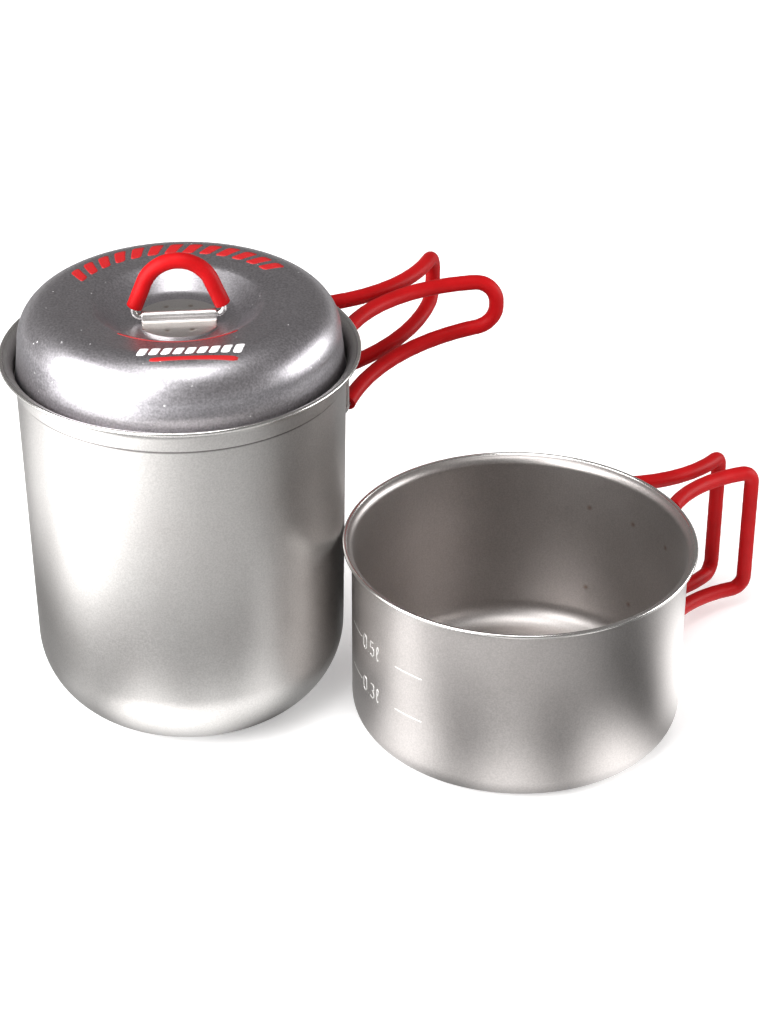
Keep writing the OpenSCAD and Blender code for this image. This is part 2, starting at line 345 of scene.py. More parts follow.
def titanium(name, light, dark, rough, grain, contrast, strength, painted_glints=False):
    """Bead-blasted sheet: fine grain, faint clouds, worn rims, creases darkened as painted shade,
    brown weld marks, and light specks as painted glints if asked.
    """
    material, tree, shader = node_tree(name)
    shader.inputs["Metallic"].default_value = 1
    fine = noise(tree, grain, 2, 0.6)
    colour = ramp(tree, noise(tree, 26, 4), dark, light, (0.32, 0.68))
    low = 1 - contrast
    grained = ramp(tree, fine, (low, low, low), (1, 1, 1), (0.35, 0.65))
    colour = mix_colour(tree, 1.0, colour, grained, "MULTIPLY")
    weld = point_value(tree, "weld")
    colour = mix_colour(tree, between_values(tree, weld, 0, 0.75), colour, (0.26, 0.17, 0.12))
    # Painted shade: the marked points under the rolled beads, under the pot's step and on the lid's
    # skirt above its seat are darkened nearly to black.
    painted_shade = point_value(tree, "painted_shade")
    colour = mix_colour(tree, between_values(tree, painted_shade, 0, 0.8), colour, (0.09, 0.08, 0.08))
    worn = point_value(tree, "polish")
    colour = mix_colour(tree, between_values(tree, worn, 0, 0.7), colour, (0.86, 0.845, 0.82))
    rough_map = between_values(tree, fine, rough - 0.06, rough + 0.06)
    smoothed = math_node(tree, "MULTIPLY", worn, rough - 0.2)
    rough_map = math_node(tree, "SUBTRACT", rough_map, smoothed)
    # Painted glints: sparse small specks are lightened nearly to white and made rougher, standing
    # for the sparkle of the blasted lid catching the light.
    if painted_glints:
        cells = tree.nodes.new("ShaderNodeTexVoronoi")
        cells.inputs["Scale"].default_value = 620
        tree.links.new(tree.nodes["place"].outputs["Object"], cells.inputs["Vector"])
        spots = math_node(tree, "LESS_THAN", cells.outputs["Distance"], 0.2)
        sparse = math_node(tree, "GREATER_THAN", noise(tree, 330, 1), 0.69)
        painted_glint = math_node(tree, "MULTIPLY", spots, sparse)
        colour = mix_colour(tree, painted_glint, colour, (0.86, 0.85, 0.85))
        dulled = math_node(tree, "MULTIPLY", painted_glint, 0.3)
        rough_map = math_node(tree, "ADD", rough_map, dulled)
    tree.links.new(colour, shader.inputs["Base Color"])
    tree.links.new(rough_map, shader.inputs["Roughness"])
    bump(tree, shader, fine, strength, 0.03)
    return material


def wire_material():
    """Drawn wire: bright, with faint scratches and patches of dullness."""
    material, tree, shader = node_tree("drawn_wire")
    shader.inputs["Metallic"].default_value = 1
    colour = ramp(tree, noise(tree, 240, 3), (0.58, 0.57, 0.55), (0.78, 0.77, 0.75))
    tree.links.new(colour, shader.inputs["Base Color"])
    scratches = between_values(tree, noise(tree, 2600, 2), 0.16, 0.36)
    tree.links.new(scratches, shader.inputs["Roughness"])
    bump(tree, shader, noise(tree, 1800, 2), 0.25, 0.02)
    return material


def silicone_material():
    """Satin silicone: saturated red, with a soft skin, faint handling marks and dulled ends."""
    material, tree, shader = node_tree("red_silicone")
    patches = noise(tree, 90, 4)
    colour = ramp(tree, patches, (0.34, 0.003, 0.004), (0.42, 0.004, 0.006))
    dust = ramp(tree, noise(tree, 2200, 2), (0, 0, 0), (0.2, 0.2, 0.2), (0.66, 0.8))
    colour = mix_colour(tree, dust, colour, (0.55, 0.06, 0.06))
    ends = between_values(tree, point_value(tree, "polish"), 0, 0.35)
    colour = mix_colour(tree, ends, colour, (0.34, 0.003, 0.005))
    tree.links.new(colour, shader.inputs["Base Color"])
    tree.links.new(between_values(tree, patches, 0.36, 0.5), shader.inputs["Roughness"])
    shader.inputs["IOR"].default_value = 1.43
    shader.inputs["Specular IOR Level"].default_value = 0.14
    bump(tree, shader, noise(tree, 1500, 3), 0.18, 0.03)
    return material


def print_material(name, colour, faded):
    """Screen print: an even coat, thinned in specks where the blasted metal shows through."""
    material, tree, shader = node_tree(name)
    specks = ramp(tree, noise(tree, 1600, 3), (0, 0, 0), (1, 1, 1), (0.68, 0.76))
    tree.links.new(mix_colour(tree, specks, colour, faded), shader.inputs["Base Color"])
    rough_map = between_values(tree, noise(tree, 400, 3), 0.38, 0.58)
    tree.links.new(rough_map, shader.inputs["Roughness"])
    bump(tree, shader, noise(tree, 2400, 2), 0.12, 0.02)
    return material


def floor_material():
    """Pale card that glows a little, and more so far away, so that it fades into the white room."""
    material, tree, shader = node_tree("pale_floor")
    colour = ramp(tree, noise(tree, 3), (0.90, 0.90, 0.90), (0.93, 0.93, 0.93))
    tree.links.new(colour, shader.inputs["Base Color"])
    shader.inputs["Roughness"].default_value = 0.75
    shader.inputs["Emission Color"].default_value = (1, 1, 1, 1)
    away = tree.nodes.new("ShaderNodeVectorMath")
    away.operation = "LENGTH"
    tree.links.new(tree.nodes["place"].outputs["Object"], away.inputs[0])
    glow = tree.nodes.new("ShaderNodeMapRange")
    glow.inputs["From Min"].default_value = 0.5
    glow.inputs["From Max"].default_value = 1.6
    glow.inputs["To Min"].default_value = 0.28
    glow.inputs["To Max"].default_value = 0.62
    tree.links.new(away.outputs["Value"], glow.inputs["Value"])
    tree.links.new(glow.outputs["Result"], shader.inputs["Emission Strength"])
    return material


titanium_pot = titanium(
    "titanium_pot", (0.58, 0.565, 0.55), (0.54, 0.52, 0.505), rough=0.38,
    grain=1700, contrast=0.16, strength=0.25)
titanium_pan = titanium(
    "titanium_pan", (0.56, 0.53, 0.515), (0.50, 0.47, 0.455), rough=0.40,
    grain=1700, contrast=0.16, strength=0.25)
titanium_lid = titanium(
    "titanium_lid", (0.58, 0.56, 0.585), (0.52, 0.50, 0.53), rough=0.36,
    grain=1300, contrast=0.3, strength=0.45, painted_glints=True)
# Level marks: raised strokes of the pan's titanium, whose much lighter colour is a painted highlight
# standing for the light they catch.
marks_painted_highlight = titanium(
    "marks_painted_highlight", (0.86, 0.85, 0.83), (0.8, 0.79, 0.77), rough=0.5,
    grain=1700, contrast=0.1, strength=0.15)
formed_bracket = titanium(
    "formed_bracket", (0.74, 0.72, 0.70), (0.68, 0.66, 0.64), rough=0.32,
    grain=1900, contrast=0.12, strength=0.18)
drawn_wire = wire_material()
red_silicone = silicone_material()
red_print = print_material("red_print", (0.42, 0.004, 0.006), (0.36, 0.14, 0.13))
white_print = print_material("white_print", (0.92, 0.92, 0.92), (0.62, 0.61, 0.60))


def finish(piece, body, node, material):
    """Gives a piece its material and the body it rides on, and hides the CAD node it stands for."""
    piece.data.materials.append(material)
    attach(piece, body)
    if node:
        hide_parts(node)


# ---------- pot, pan and lid ----------
def rim_outline(wall, rim, height):
    """Outer path of a wall's flare, then its rolled bead, then the flare's inner path back down."""
    flare_r = (rim - BEAD_R - wall) / (1 - cosd(FLARE_SWEEP))
    flare_z = height - BEAD_R - flare_r * sind(FLARE_SWEEP)
    sweep = FLARE_SWEEP - math.degrees(BEAD_R / flare_r)
    outer = arc(wall + flare_r, flare_z, flare_r, 180, 180 - sweep, 14)
    bead = arc(rim - BEAD_R, height - BEAD_R, BEAD_R, 203, 507, 26)
    inner = offset(outer, SHEET)
    return outer, bead, inner[::-1]


def vessel_outline(path, wall, rim, height):
    """Closed outline of a vessel whose outer path runs from its axis to the foot of its flare."""
    outer, bead, inner = rim_outline(wall, rim, height)
    outline = path + outer + bead + inner + offset(path, SHEET)[::-1]
    outline[-1] = (0, SHEET)
    start = len(path) + len(outer)
    polish = range(start + 2, start + len(bead))
    # Painted shade: points under the pot's step and just under the rolled bead, where lines of shade
    # fall, are marked to be darkened.
    under_step = {i for i, (r, z) in enumerate(path) if abs(z - STEP_Z + 0.3) < 0.35}
    under_bead = {start - 1, start, start + 1}
    return outline, polish, under_bead | under_step


def pot_wall(z):
    return WALL_R - (STEP_Z - z) * math.tan(math.radians(DRAFT))


def pot_path():
    corner_z = POT_CORNER * (1 - sind(DRAFT))
    corner_x = pot_wall(corner_z) - POT_CORNER * cosd(DRAFT)
    inner_bend, outer_bend = 0.4, 0.5
    path = [(0, 0)] + [(corner_x * i / 4, 0) for i in (1, 2, 3)]
    path += arc(corner_x, POT_CORNER, POT_CORNER, -90, -DRAFT, 30)
    top = STEP_Z - inner_bend
    last_rows = [(pot_wall(z), z) for z in (top - 0.8, top - 0.2)]
    path += between(path[-1], last_rows[0], 60) + last_rows
    path += arc(WALL_R + inner_bend, top, inner_bend, 180, 90, 6)
    path += arc(BAND_R - outer_bend, STEP_Z + outer_bend, outer_bend, -90, 0, 6)[1:]
    return path


def pan_wall(z):
    return PAN_WALL


def pan_path():
    floor = PAN_WALL - PAN_CORNER
    path = [(0, 0)] + [(floor * i / 5, 0) for i in (1, 2, 3, 4)]
    path += arc(floor, PAN_CORNER, PAN_CORNER, -90, 0, 22)
    path += between(path[-1], (PAN_WALL, PAN_H - 5), 76)
    return path


def weld_spots(name):
    """Places of a bracket's spot welds, as (turn from the handle, height)."""
    bracket = BRACKETS[name]
    return [(side * bracket["spot_turn"], z) for side in (-1, 0, 1) for z in bracket["spots"]]


def weld_dents(name, wall):
    """Shallow round weld marks on the inside of a wall, where its bracket is welded on."""
    spots = [(HANDLE_TURN + turn, z) for turn, z in weld_spots(name)]

    def dent(turn, r, z):
        if r > wall(z) - SHEET / 2 or r < wall(z) - 2 * SHEET:
            return 0, 0
        mark = 0
        for t, h in spots:
            along = math.radians(abs((turn - t + 180) % 360 - 180)) * r
            mark = max(mark, smooth_bump(math.hypot(along, z - h), WELD_R))
        return WELD_DEPTH * mark, mark
    return dent


def lid_path():
    """Upper path of the lid, from its axis to the hem that stands on the pot's seat."""
    steep, lean = RECESS_SLOPE, math.tan(math.radians(CREST_SLOPE))
    crest = (LID_R - SHOULDER, CREST_Z - SHOULDER)
    line = crest[1] + (SHOULDER - RECESS_EDGE) / cosd(CREST_SLOPE) - crest[0] * lean
    across = RECESS_R * sind(steep) + RECESS_EDGE + RECESS_FILLET
    across += (line - RECESS_Z - RECESS_FILLET) * cosd(steep)
    edge_x = across / (sind(steep) - lean * cosd(steep))
    path = [(0, RECESS_Z)] + [(RECESS_R * i / 5, RECESS_Z) for i in (1, 2, 3, 4)]
    path += arc(RECESS_R, RECESS_Z + RECESS_FILLET, RECESS_FILLET, -90, steep - 90, 12)
    path += arc(edge_x, line + edge_x * lean, RECESS_EDGE, 90 + steep, 90 + CREST_SLOPE, 12)
    shoulder = arc(*crest, SHOULDER, 90 + CREST_SLOPE, 0, 32)
    path += between(path[-1], shoulder[0], 5) + shoulder
    path += between(path[-1], (LID_EDGE_R, SEAT_Z + 1.5), 8)
    return path + [(LID_EDGE_R, SEAT_Z + 1.5), (LID_EDGE_R, SEAT_Z + 0.15)]


def add_vessels():
    outline, polish, painted_shade = vessel_outline(pot_path(), BAND_R, POT_RIM, POT_H)
    pot = revolve("pot_body", outline, wall_turns(), (0, 0), polish, painted_shade,
                  weld_dents("pot", pot_wall))
    finish(pot, "pot", "pot_shell", titanium_pot)

    outline, polish, painted_shade = vessel_outline(pan_path(), PAN_WALL, PAN_RIM, PAN_H)
    pan = revolve("pan_body", outline, wall_turns(), (PAN_X, 0), polish, painted_shade,
                  weld_dents("pan", pan_wall))
    finish(pan, "pan", "pan_shell", titanium_pan)

    path = lid_path()
    under = offset(path, -SHEET)
    under[0] = (0, RECESS_Z - SHEET)
    broken = 0.15
    edge = [(LID_EDGE_R - broken, SEAT_Z), (LID_EDGE_R - SHEET + broken, SEAT_Z)]
    outline = path + edge + under[::-1]
    # Painted shadow: the lid's skirt just above its seat is marked to be darkened, for the shade in
    # the gap inside the pot's rim.
    painted_shade = {i for i, (r, z) in enumerate(path) if r > LID_R and z < SEAT_Z + 1.7}
    polish = {i for i, (r, z) in enumerate(outline) if z < SEAT_Z + 0.3} - painted_shade
    lid = revolve("lid_cover", outline, even_turns(224), (0, 0), polish, painted_shade)
    finish(lid, "lid", "lid_shell", titanium_lid)


# ---------- wires and sleeves ----------
def rounded(points, radii, steps):
    """Plane path through points, with each inner corner rounded to its radius."""
    path = [Vector(points[0])]
    for a, b, c, r in zip(points, points[1:], points[2:], radii):
        a, b, c = Vector(a), Vector(b), Vector(c)
        u, v = (a - b).normalized(), (c - b).normalized()
        half = u.angle(v) / 2
        centre = b + (u + v).normalized() * (r / math.sin(half))
        start, end = b + u * (r / math.tan(half)) - centre, b + v * (r / math.tan(half)) - centre
        sweep = math.pi - 2 * half
        for i in range(steps + 1):
            t = i / steps
            path.append(centre + (start * math.sin(sweep * (1 - t)) + end * math.sin(sweep * t))
                        / math.sin(sweep))
    return path + [Vector(points[-1])]


def divided(path, step):
    """The path with long stretches cut into steps."""
    out = [path[0]]
    for a, b in zip(path, path[1:]):
        count = max(1, round((b - a).length / step))
        out += [a + (b - a) * i / count for i in range(1, count + 1)]
    return out


def frames(path):
    """Cross directions along a path, carried from point to point without twist."""
    out = []
    last = len(path) - 1
    side = None
    for i, point in enumerate(path):
        along = (path[min(i + 1, last)] - path[max(i - 1, 0)]).normalized()
        if side is None:
            side = along.orthogonal().normalized()
        side = (side - along * side.dot(along)).normalized()
        out.append((side, along.cross(side)))
    return out


def swept(name, rows, count, closed, attributes=None):
    """Skin over rows of (point, cross directions, radius), with count points round each row."""
    verts = [p + r * (cosd(360 * j / count) * u + sind(360 * j / count) * v)
             for p, (u, v), r in rows for j in range(count)]
    pairs = list(zip(range(len(rows)), range(1, len(rows))))
    if closed:
        pairs.append((len(rows) - 1, 0))
    faces = []
    for a, b in pairs:
        for j in range(count):
            k = (j + 1) % count
            faces.append((a * count + j, a * count + k, b * count + k, b * count + j))
    if not closed:
        faces.append(tuple(range(count))[::-1])
        faces.append(tuple(range((len(rows) - 1) * count, len(rows) * count)))
    return new_mesh(name, verts, faces, attributes)


def moved_along(path, distance):
    """The path's first point moved forwards by a distance, which may be negative."""
    return path[0] + (path[1] - path[0]).normalized() * distance


def wire(name, path):
    """Round wire with chamfered ends."""
    chamfer = 0.3
    tail = [moved_along(path[::-1], chamfer), path[-1]]
    path = [path[0], moved_along(path, chamfer)] + path[1:-1] + tail
    radii = [WIRE_R - chamfer] + [WIRE_R] * (len(path) - 2) + [WIRE_R - chamfer]
    return swept(name, list(zip(path, frames(path), radii)), 20, False)


def sleeve(name, path):
    """Thick silicone tube over a wire, with soft ends, a slightly uneven wall and its bore open."""
    soft = 0.35
    bore = WIRE_R + 0.05
    back = path[::-1]
    spine = [path[0], moved_along(path, soft * 0.3), moved_along(path, soft)] + path[1:-1]
    spine += [moved_along(back, soft), moved_along(back, soft * 0.3), path[-1]]
    sides = frames(spine)
    length = 0
    rows = []
    for i, point in enumerate(spine):
        length += (point - spine[max(i - 1, 0)]).length
        wave = 0.022 * math.sin(length * 0.9) + 0.016 * math.sin(length * 2.3 + 1.7) - 0.04
        rows.append((point, sides[i], SLEEVE_R + wave))
    rows[0] = (spine[0], sides[0], SLEEVE_R - soft)
    rows[1] = (spine[1], sides[1], SLEEVE_R - soft * 0.3)
    rows[-2] = (spine[-2], sides[-2], SLEEVE_R - soft * 0.3)
    rows[-1] = (spine[-1], sides[-1], SLEEVE_R - soft)
    inner = [(p, side, bore) for p, side in zip(spine, sides)]
    count = 24
    ends = [1 if i < 3 or i > len(rows) - 4 else 0 for i in range(len(rows))]
    worn = [end for end in ends + ends[::-1] for _ in range(count)]
    return swept(name, rows + inner[::-1], count, True, {"polish": worn})


def wing_place(body, side):
    """Maps (distance along a wing, height) to its place, from its hinge and heading."""
    wing = WINGS[body]
    hinge = joint(f"{body}_wing_{'near' if side < 0 else 'far'}_fold")["pos_m"]
    start = HANDLE_TURN - side * (wing["open_turn"] - wing["pivot_turn"])
    k = side * WING_CURVE

    def place(q):
        turn = start + side * math.degrees(q[0] / WING_CURVE)
        return Vector((hinge[0] / MM + k * (sind(turn) - sind(start)),
                       hinge[1] / MM - k * (cosd(turn) - cosd(start)), q[1]))
    return place


def add_wings():
    for body, wing in WINGS.items():
        reach = wing["reach"]
        upper, lower = (0, wing["upper"][0]), (0, wing["lower"][0])
        tips = [(reach, wing["upper"][1]), (reach, wing["lower"][1])]
        tangent = ROOT_BEND * 0.95
        pins = [(0, upper[1] - tangent - PIN_REACH), (0, lower[1] + tangent + PIN_REACH)]
        bends = [ROOT_BEND, wing["tip"], wing["tip"], ROOT_BEND]
        bent = rounded([pins[0], upper, *tips, lower, pins[1]], bends, 12)
        starts = [Vector(root) + (Vector(tip) - Vector(root)).normalized() * BARE
                  for root, tip in ((upper, tips[0]), (lower, tips[1]))]
        covered = rounded([starts[0], *tips, starts[1]], bends[1:3], 14)
        for side, word in ((-1, "near"), (1, "far")):
            place = wing_place(body, side)
            rides = f"{body}_wing_{word}"
            rod = wire(f"{rides}_wire", [place(q) for q in divided(bent, 2.5)])
            finish(rod, rides, f"{body}_wire_{word}", drawn_wire)
            tube = sleeve(f"{rides}_sleeve", [place(q) for q in divided(covered, 1.6)])
            finish(tube, rides, f"{body}_sleeve_{word}", red_silicone)


# side view of the bail, as distances along its hinge and heights above it
ARCH_H = 20.8
ARCH_R = 12.5
ARCH_SPREAD = 22
FOOT_BEND = 2.4
FOOT_BARE = 4
BAIL_PIN = 7.5


def add_bail():
    centre = ARCH_H - ARCH_R
    leg_top = (ARCH_R * cosd(ARCH_SPREAD), centre + ARCH_R * sind(ARCH_SPREAD))
    slope = math.tan(math.radians(ARCH_SPREAD))
    foot = leg_top[0] + leg_top[1] * slope
    over = arc(0, centre, ARCH_R, ARCH_SPREAD, 180 - ARCH_SPREAD, 40)
    leg = rounded([(BAIL_PIN, 0), (foot, 0), leg_top], [FOOT_BEND], 12)[:-1]
    back = [Vector((-p.x, p.y)) for p in leg[::-1]]
    whole = divided(leg + [Vector(p) for p in over] + back, 2)
    sleeve_foot = (foot - FOOT_BARE * sind(ARCH_SPREAD), FOOT_BARE * cosd(ARCH_SPREAD))
    covered = [sleeve_foot] + over + [(-sleeve_foot[0], sleeve_foot[1])]
    covered = divided([Vector(p) for p in covered], 1.4)

    def place(q):
        return Vector((q.x * cosd(BAIL_TURN), q.x * sind(BAIL_TURN), HINGE_Z + q.y))
    loop = wire("bail_loop_wire", [place(q) for q in whole])
    finish(loop, "bail", "bail_wire", drawn_wire)
    tube = sleeve("bail_loop_sleeve", [place(q) for q in covered])
    finish(tube, "bail", "bail_sleeve", red_silicone)


# ---------- brackets ----------
def ridge_profile(base, top, fillet):
    """Raised channel as (sideways, height) points, from foot to foot over a round top."""
    foot = RIDGE_R + fillet
    left = arc(-foot, base + fillet, fillet, -90, 0, 5)
    left += between(left[-1], (-RIDGE_R, top), 2)
    over = arc(0, top, RIDGE_R, 180, 0, 16)
    return left + over + [(-x, y) for x, y in left[::-1]]


def sheet_piece(name, verts, faces, weld):
    """Bracket of formed sheet: one layer of faces, thickened inwards, with its cut edges broken."""
    piece = new_mesh(name, verts, faces, {"weld": weld, "polish": [0] * len(verts)})
    thick = piece.modifiers.new("thickness", "SOLIDIFY")
    thick.thickness = PLATE * MM
    thick.offset = -1
    edges = piece.modifiers.new("edges", "BEVEL")
    edges.width = 0.14 * MM
    edges.segments = 2
    edges.limit_method = "ANGLE"
    edges.angle_limit = math.radians(50)
    return piece


def handle_bracket(body, wall, centre):
    """Curved plate on a wall, with its two channels pressed out of it over part of its height."""
    wing, bracket = WINGS[body], BRACKETS[body]
    low, high = bracket["low"], bracket["high"]
    channel_low, channel_high = bracket["channel"]
    fillet, corner = 1.0, 4.5
    mid_r = wall((low + high) / 2) + PLATE
    foot = math.degrees((RIDGE_R + fillet) / mid_r)
    last = len(ridge_profile(0, 1, fillet)) - 1

    # columns of points, as (turn, None) on the plate or (turn, (ridge's turn, index in its profile))
    columns, zones = [], []
    start = -PLATE_TURN
    for side, count in ((-1, 14), (1, 40)):
        ridge = side * wing["pivot_turn"]
        columns += [(start + (ridge - foot - start) * i / count, None) for i in range(count)]
        zones.append((len(columns), len(columns) + last))
        columns += [(ridge - foot + 2 * foot * i / last, (ridge, i)) for i in range(last + 1)]
        start = ridge + foot
    columns += [(start + (PLATE_TURN - start) * i / 14, None) for i in range(1, 15)]

    step = 0.7
    heights = []
    for a, b in ((low, channel_low), (channel_low, channel_high), (channel_high, high)):
        count = max(2, round((b - a) / step))
        heights += [a + (b - a) * i / count for i in range(count)]
    heights.append(high)

    def in_channel(z):
        return channel_low - 1e-6 <= z <= channel_high + 1e-6

    def at_channel_end(z):
        return abs(z - channel_low) < 1e-6 or abs(z - channel_high) < 1e-6

    def half_turn(z):
        """Half of the plate's spread at a height, less near its rounded corners."""
        inset = min(z - low, high - z)
        if inset >= corner:
            return PLATE_TURN
        cut = corner - math.sqrt(corner ** 2 - (corner - inset) ** 2)
        return PLATE_TURN - math.degrees(cut / mid_r)

    verts, weld, flat_at, raised_at = [], [], {}, {}

    def put(turn, r, z, mark=0):
        a = HANDLE_TURN + turn
        verts.append((centre[0] + r * cosd(a), centre[1] + r * sind(a), z))
        weld.append(mark)
        return len(verts) - 1

    for i, z in enumerate(heights):
        edge = half_turn(z)
        surface = wall(z) + PLATE
        for k, (turn, zone) in enumerate(columns):
            if k <= zones[0][0] or k >= zones[1][1]:
                limit = abs(columns[zones[0][0] if turn < 0 else zones[1][1]][0])
                reach = limit + (abs(turn) - limit) * (edge - limit) / (PLATE_TURN - limit)
                turn = math.copysign(reach, turn)
            on_plate = zone is None or zone[1] in (0, last)
            if on_plate or not in_channel(z) or at_channel_end(z):
                mark = max(smooth_bump(math.hypot(math.radians(turn - t) * surface, z - h), WELD_R)
                           for t, h in weld_spots(body))
                flat_at[i, k] = put(turn, surface - 0.2 * mark, z, mark)
            if zone is not None and in_channel(z):
                if on_plate:
                    raised_at[i, k] = flat_at[i, k]
                else:
                    x, y = ridge_profile(surface, wing["pivot_r"], fillet)[zone[1]]
                    away = math.degrees(math.atan2(x, y))
                    raised_at[i, k] = put(zone[0] + away, math.hypot(x, y), z)
    faces = []
    for i in range(len(heights) - 1):
        raised = in_channel(heights[i]) and in_channel(heights[i + 1])
        for k in range(len(columns) - 1):
            inside = any(a <= k < b for a, b in zones)
            at = raised_at if raised and inside else flat_at
            faces.append((at[i, k], at[i, k + 1], at[i + 1, k + 1], at[i + 1, k]))
    return sheet_piece(f"{body}_handle_plate", verts, faces, weld)


def turned(x, y):
    """A point of the lid, turned with the bail."""
    return x * cosd(BAIL_TURN) - y * sind(BAIL_TURN), x * sind(BAIL_TURN) + y * cosd(BAIL_TURN)


def knob_plate():
    """Welded plate on the recess floor, with a channel pressed up along the bail's hinge."""
    width, radius, fillet = 26, 15, 0.9
    spot_x, spot_y, spot_r, spot_depth = 4.3, 9.3, 1.5, 0.22
    rise = HINGE_Z - RECESS_Z
    ridge = ridge_profile(PLATE, rise, fillet)
    foot = RIDGE_R + fillet
    count = 24
    side = radius * 0.995
    flat = [(-side + (side - foot) * i / count, PLATE) for i in range(count)]
    profile = flat + ridge + [(-x, y) for x, y in flat[::-1]]
    columns = 44
    spots = [(sx * spot_x, sy * spot_y) for sx in (-1, 1) for sy in (-1, 1)]
    verts, weld, faces = [], [], []
    for y, z in profile:
        half = min(width / 2, math.sqrt(radius ** 2 - y ** 2))
        for i in range(columns + 1):
            x = -half + 2 * half * i / columns
            mark = max(smooth_bump(math.hypot(x - px, y - py), spot_r) for px, py in spots)
            verts.append((*turned(x, y), RECESS_Z + z - spot_depth * mark))
            weld.append(mark)
    for k in range(len(profile) - 1):
        for i in range(columns):
            a = k * (columns + 1) + i
            faces.append((a, a + 1, a + columns + 2, a + columns + 1))
    return sheet_piece("knob_plate", verts, faces, weld)


def add_brackets():
    pot_plate = handle_bracket("pot", pot_wall, (0, 0))
    finish(pot_plate, "pot", "pot_bracket", formed_bracket)
    pan_plate = handle_bracket("pan", pan_wall, (PAN_X, 0))
    finish(pan_plate, "pan", "pan_bracket", formed_bracket)
    finish(knob_plate(), "lid", "knob_bracket", formed_bracket)


# ---------- prints and graduations ----------
FILM = 0.06


def lid_height(r):
    path = lid_path()
    for (r0, z0), (r1, z1) in zip(path, path[1:]):
        if r0 <= r <= r1 and r1 > r0:
            return z0 + (z1 - z0) * (r - r0) / (r1 - r0)
    return CREST_Z


def draped(rows):
    """Lays a grid of (x, y) points on the lid, turned with the bail, just proud of its surface."""
    return [[(*turned(x, y), lid_height(math.hypot(x, y)) + FILM) for x, y in row] for row in rows]


def film(name, patches, material):
    """Printed film from grids of points, each a thin closed skin on the surface below it."""
    verts, faces = [], []
    for grid in patches:
        first = len(verts)
        rows, columns = len(grid), len(grid[0])
        verts += [p for row in grid for p in row]
        faces += [(first + i * columns + j, first + i * columns + j + 1,
                   first + (i + 1) * columns + j + 1, first + (i + 1) * columns + j)
                  for i in range(rows - 1) for j in range(columns - 1)]
    piece = new_mesh(name, verts, faces)
    thick = piece.modifiers.new("thickness", "SOLIDIFY")
    thick.thickness = 1.6 * FILM * MM
    thick.offset = -1
    finish(piece, "lid", None, material)


def soft_block(start, end, low, high, soft, steps):
    """Grid of (along, across) points between two pairs of limits, with its corners rounded."""
    rows = []
    for i in range(steps + 1):
        from_end = min(i, steps - i)
        trim = soft if from_end == 0 else (soft * 0.25 if from_end == 1 else 0)
        a, b = low + trim, high - trim
        rows.append([(start + (end - start) * i / steps, a + (b - a) * j / 6) for j in range(7)])
    return rows


def ring_block(r0, r1, start, end, slant):
    """Part of a flat ring, slanting by some degrees from its inner edge to its outer edge."""
    rows = []
    for row in soft_block(start, end, r0, r1, 0.7, 8):
        slanted = [(r, turn + slant * ((r - r0) / (r1 - r0) - 0.5)) for turn, r in row]
        rows.append([(r * cosd(turn), r * sind(turn)) for r, turn in slanted])
    return rows


def bar_block(x0, x1, y0, y1, lean, steps=8):
    """Straight bar, leaning sideways by lean per unit of height."""
    block = soft_block(x0, x1, y0, y1, 0.5, steps)
    return [[(x + lean * (y - y0), y) for x, y in row] for row in block]


def add_prints():
    """Plain printed bars where the lid carries words: an arc at the back, and a row in front."""
    bars, start, end, gap = 13, 29.5, 152.5, 3.4
    pitch = (end - start) / bars
    arc_bars = []
    for i in range(bars):
        turn = start + pitch * i
        arc_bars.append(draped(ring_block(37.2, 43.9, turn + gap / 2, turn + pitch - gap / 2, -5)))
    film("lid_print_arc", arc_bars, red_print)

    turns = [-92 + 40 * i / 30 for i in range(-30, 31)]
    line = [[(r * cosd(turn), r * sind(turn)) for r in (31.2, 31.5, 31.8)] for turn in turns]
    film("lid_print_line", [draped(line)], red_print)

    bars, start, end, gap, lean = 9, -15.2, 21, 1.1, 0.3
    pitch = (end - start) / bars
    white = []
    for i in range(bars):
        x = start + pitch * i
        white.append(draped(bar_block(x, x + pitch - gap, -42.6, -37.2, lean)))
    film("lid_print_white", white, white_print)
    film("lid_print_bar", [draped(bar_block(-11, 18.4, -46.4, -44.3, lean, 24))], red_print)


# strokes of the figures that the graduations need, on a cell one unit wide and two high
FIGURES = {
    "0": [[(0.0, 0.35), (0.35, 0), (0.65, 0), (1, 0.35), (1, 1.65), (0.65, 2), (0.35, 2),
           (0, 1.65), (0, 0.35)]],
    "3": [[(0.05, 1.85), (0.35, 2), (0.7, 2), (1, 1.7), (1, 1.35), (0.7, 1.05), (0.4, 1.05)],
          [(0.7, 1.05), (1, 0.75), (1, 0.3), (0.7, 0), (0.3, 0), (0, 0.2)]],
    "5": [[(0.95, 2), (0.1, 2), (0.05, 1.1), (0.65, 1.25), (1, 0.95), (1, 0.35), (0.65, 0),
           (0.3, 0), (0, 0.2)]],
    ".": [[(0.0, 0.0), (0.0, 0.16)]],
    "l": [[(0.05, 0.7), (0.45, 1.1), (0.62, 1.7), (0.4, 2), (0.2, 1.7), (0.2, 0.35), (0.4, 0),
           (0.65, 0.25)]],
}
LEVELS = {"0.5l": 45.2, "0.3l": 27.3}
DASHES = ((-162, -151.5), (-130.5, -118.3))
CELL_W = 2.6
CELL_H = 2.9
CELL_GAP = 1.5
RIDGE = [(-0.3, -0.12), (-0.2, 0.07), (0, 0.13), (0.2, 0.07), (0.3, -0.12)]


def round_pan(turn):
    """Distance round the pan's wall to a direction."""
    return math.radians(turn) * PAN_WALL


